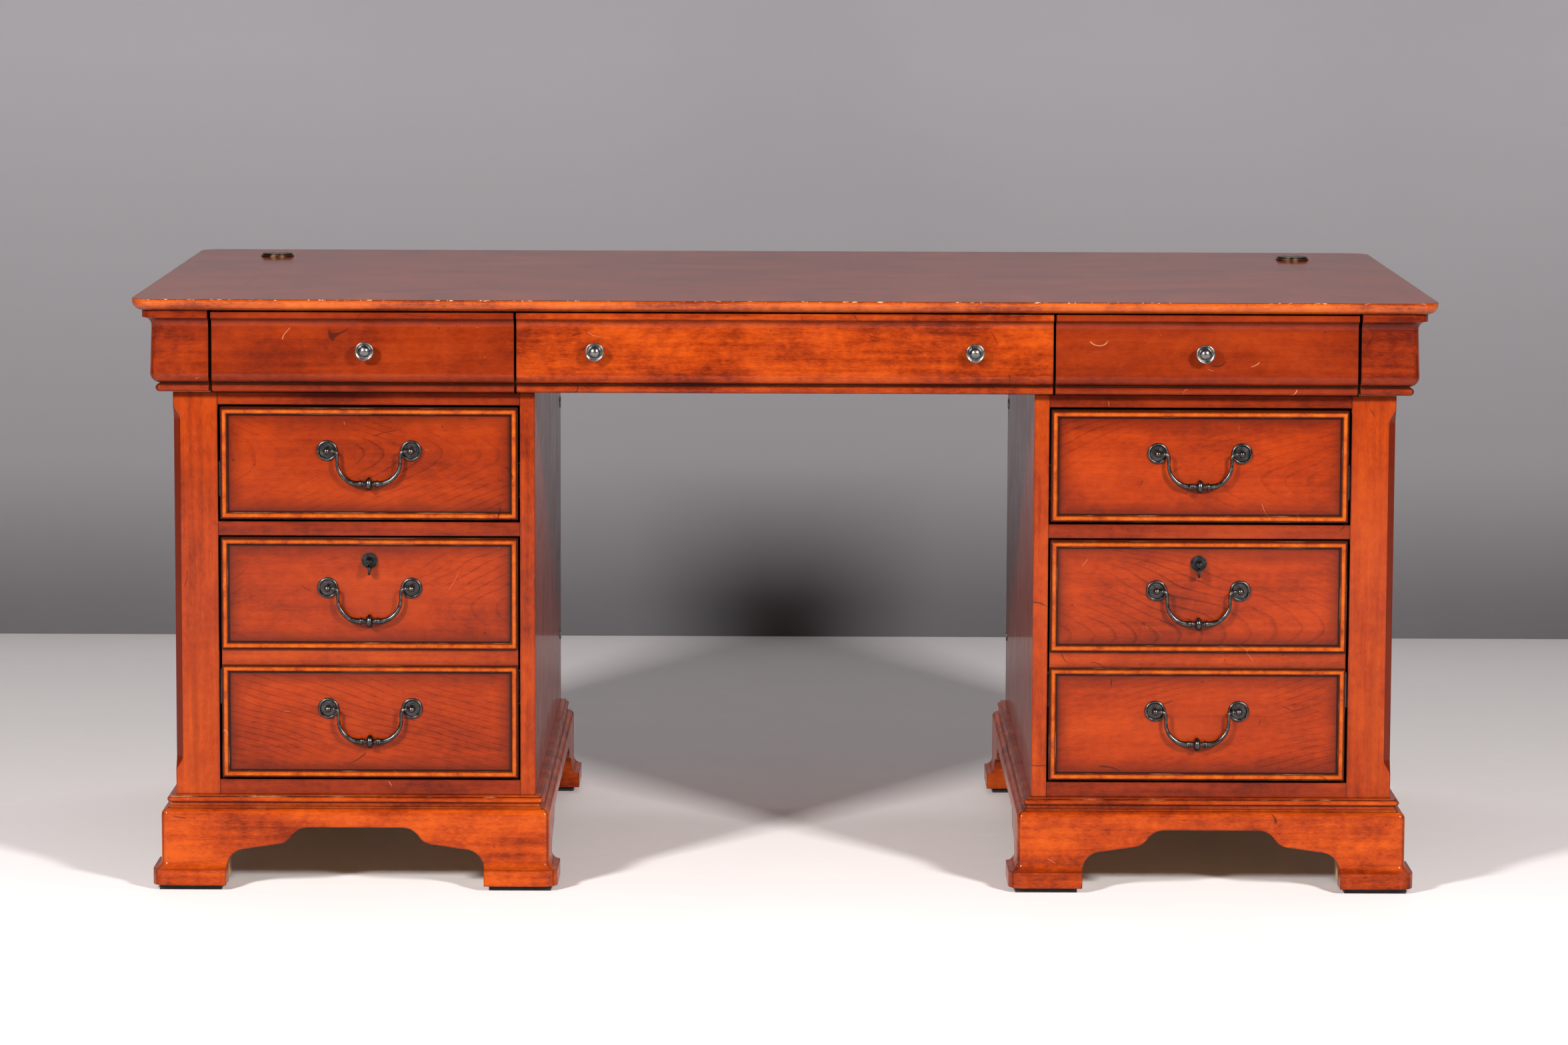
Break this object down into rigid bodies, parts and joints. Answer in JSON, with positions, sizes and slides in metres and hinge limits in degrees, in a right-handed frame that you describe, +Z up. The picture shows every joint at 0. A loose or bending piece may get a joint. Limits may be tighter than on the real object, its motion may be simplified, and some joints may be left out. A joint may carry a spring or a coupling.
{
  "type": "double pedestal desk",
  "caption": "Double-pedestal kneehole desk with an ogee frieze, framed sides, bracket feet, box and file drawers on slides, bail handles, locks and cable grommets",
  "frame": {"origin": "on the floor under the middle of the desktop", "axes": "+X right as seen from the front, -Y the front, +Z up"},
  "size_m": [1.67, 0.92, 0.7728],
  "materials": {
    "desktop_veneer": "glossy stained veneer",
    "bright_cherry": "glossy stained cherry",
    "cherry": "glossy stained cherry with dark glaze",
    "bronze": "dark bronze",
    "raw_wood": "bare hardwood",
    "plywood": "bare plywood",
    "black_pad": "matt",
    "zinc_steel": "zinc plated",
    "dark_pewter": "antiqued dark pewter",
    "black_lock": "black satin"
  },
  "bodies": {
    "root": {"desktop_core": "desktop_veneer", "edge_moulding": "bright_cherry", "grommet_sleeves": "bronze", "frieze_corner_blocks": "cherry", "frieze_side_mouldings": "cherry", "frieze_carcass": "raw_wood", "corner_posts": "cherry", "side_and_back_rails": "cherry", "raised_panels": "cherry", "inner_sides": "cherry", "front_rails": "cherry", "pedestal_boards": "plywood", "slide_packers": "raw_wood", "plinth_mouldings": "bright_cherry", "bracket_foot_boards": "bright_cherry", "foot_glue_blocks": "raw_wood", "foot_pads": "black_pad", "panel_connectors": "zinc_steel", "carcass_slides": "zinc_steel"},
    "left_grommet_cap_body": {"left_grommet_cap": "bronze"},
    "left_frieze_drawer": {"left_frieze_front": "cherry", "left_frieze_box": "raw_wood", "left_frieze_knob": "dark_pewter"},
    "left_upper_drawer": {"left_upper_front": "cherry", "left_upper_box": "raw_wood", "left_upper_slides": "zinc_steel", "left_upper_rosettes": "dark_pewter"},
    "left_file_drawer": {"left_file_front": "cherry", "left_file_box": "raw_wood", "left_file_slides": "zinc_steel", "left_file_rosettes": "dark_pewter", "left_lock_case": "black_lock"},
    "left_file_carrier_body": {"left_file_carriers": "zinc_steel"},
    "left_upper_handle": {"left_upper_bail": "dark_pewter"},
    "left_middle_handle": {"left_middle_bail": "dark_pewter"},
    "left_lower_handle": {"left_lower_bail": "dark_pewter"},
    "left_lock": {"left_lock_plug": "black_lock"},
    "left_key": {"left_key_bow": "black_lock"},
    "right_grommet_cap_body": {"right_grommet_cap": "bronze"},
    "right_frieze_drawer": {"right_frieze_front": "cherry", "right_frieze_box": "raw_wood", "right_frieze_knob": "dark_pewter"},
    "right_upper_drawer": {"right_upper_front": "cherry", "right_upper_box": "raw_wood", "right_upper_slides": "zinc_steel", "right_upper_rosettes": "dark_pewter"},
    "right_file_drawer": {"right_file_front": "cherry", "right_file_box": "raw_wood", "right_file_slides": "zinc_steel", "right_file_rosettes": "dark_pewter", "right_lock_case": "black_lock"},
    "right_file_carrier_body": {"right_file_carriers": "zinc_steel"},
    "right_upper_handle": {"right_upper_bail": "dark_pewter"},
    "right_middle_handle": {"right_middle_bail": "dark_pewter"},
    "right_lower_handle": {"right_lower_bail": "dark_pewter"},
    "right_lock": {"right_lock_plug": "black_lock"},
    "right_key": {"right_key_bow": "black_lock"},
    "centre_frieze_drawer": {"centre_frieze_front": "cherry", "centre_frieze_box": "raw_wood", "centre_frieze_knobs": "dark_pewter"}
  },
  "joints": [
    {"name": "left_cap_lift", "type": "slide", "parent": "root", "child": "left_grommet_cap_body", "axis": [0, 0, 1], "range_m": [0, 0.03]},
    {"name": "left_frieze_pull", "type": "slide", "parent": "root", "child": "left_frieze_drawer", "axis": [0, -1, 0], "range_m": [0, 0.3]},
    {"name": "left_upper_pull", "type": "slide", "parent": "root", "child": "left_upper_drawer", "axis": [0, -1, 0], "range_m": [0, 0.44]},
    {"name": "left_file_pull", "type": "slide", "parent": "root", "child": "left_file_drawer", "axis": [0, -1, 0], "range_m": [0, 0.56]},
    {"name": "left_file_carrier_pull", "type": "slide", "parent": "root", "child": "left_file_carrier_body", "axis": [0, -1, 0], "range_m": [0, 0.28]},
    {"name": "left_upper_bail_swing", "type": "hinge", "parent": "left_upper_drawer", "child": "left_upper_handle", "pos_m": [-0.53425, -0.422, 0.57], "axis": [-1, 0, 0], "range_deg": [0, 110]},
    {"name": "left_middle_bail_swing", "type": "hinge", "parent": "left_file_drawer", "child": "left_middle_handle", "pos_m": [-0.53425, -0.422, 0.392], "axis": [-1, 0, 0], "range_deg": [0, 110]},
    {"name": "left_lower_bail_swing", "type": "hinge", "parent": "left_file_drawer", "child": "left_lower_handle", "pos_m": [-0.53425, -0.422, 0.235], "axis": [-1, 0, 0], "range_deg": [0, 110]},
    {"name": "left_lock_turn", "type": "hinge", "parent": "left_file_drawer", "child": "left_lock", "pos_m": [-0.53425, -0.412, 0.4275], "axis": [0, 1, 0], "range_deg": [0, 90]},
    {"name": "left_key_fold", "type": "hinge", "parent": "left_lock", "child": "left_key", "pos_m": [-0.53425, -0.423, 0.4275], "axis": [-1, 0, 0], "range_deg": [0, 90]},
    {"name": "right_cap_lift", "type": "slide", "parent": "root", "child": "right_grommet_cap_body", "axis": [0, 0, 1], "range_m": [0, 0.03]},
    {"name": "right_frieze_pull", "type": "slide", "parent": "root", "child": "right_frieze_drawer", "axis": [0, -1, 0], "range_m": [0, 0.3]},
    {"name": "right_upper_pull", "type": "slide", "parent": "root", "child": "right_upper_drawer", "axis": [0, -1, 0], "range_m": [0, 0.44]},
    {"name": "right_file_pull", "type": "slide", "parent": "root", "child": "right_file_drawer", "axis": [0, -1, 0], "range_m": [0, 0.56]},
    {"name": "right_file_carrier_pull", "type": "slide", "parent": "root", "child": "right_file_carrier_body", "axis": [0, -1, 0], "range_m": [0, 0.28]},
    {"name": "right_upper_bail_swing", "type": "hinge", "parent": "right_upper_drawer", "child": "right_upper_handle", "pos_m": [0.53425, -0.422, 0.57], "axis": [-1, 0, 0], "range_deg": [0, 110]},
    {"name": "right_middle_bail_swing", "type": "hinge", "parent": "right_file_drawer", "child": "right_middle_handle", "pos_m": [0.53425, -0.422, 0.392], "axis": [-1, 0, 0], "range_deg": [0, 110]},
    {"name": "right_lower_bail_swing", "type": "hinge", "parent": "right_file_drawer", "child": "right_lower_handle", "pos_m": [0.53425, -0.422, 0.235], "axis": [-1, 0, 0], "range_deg": [0, 110]},
    {"name": "right_lock_turn", "type": "hinge", "parent": "right_file_drawer", "child": "right_lock", "pos_m": [0.53425, -0.412, 0.4275], "axis": [0, -1, 0], "range_deg": [0, 90]},
    {"name": "right_key_fold", "type": "hinge", "parent": "right_lock", "child": "right_key", "pos_m": [0.53425, -0.423, 0.4275], "axis": [-1, 0, 0], "range_deg": [0, 90]},
    {"name": "centre_frieze_pull", "type": "slide", "parent": "root", "child": "centre_frieze_drawer", "axis": [0, -1, 0], "range_m": [0, 0.3]}
  ],
  "couplings": [
    {"joint": "left_file_carrier_pull", "follows": "left_file_pull", "ratio": 0.5},
    {"joint": "right_file_carrier_pull", "follows": "right_file_pull", "ratio": 0.5}
  ]
}
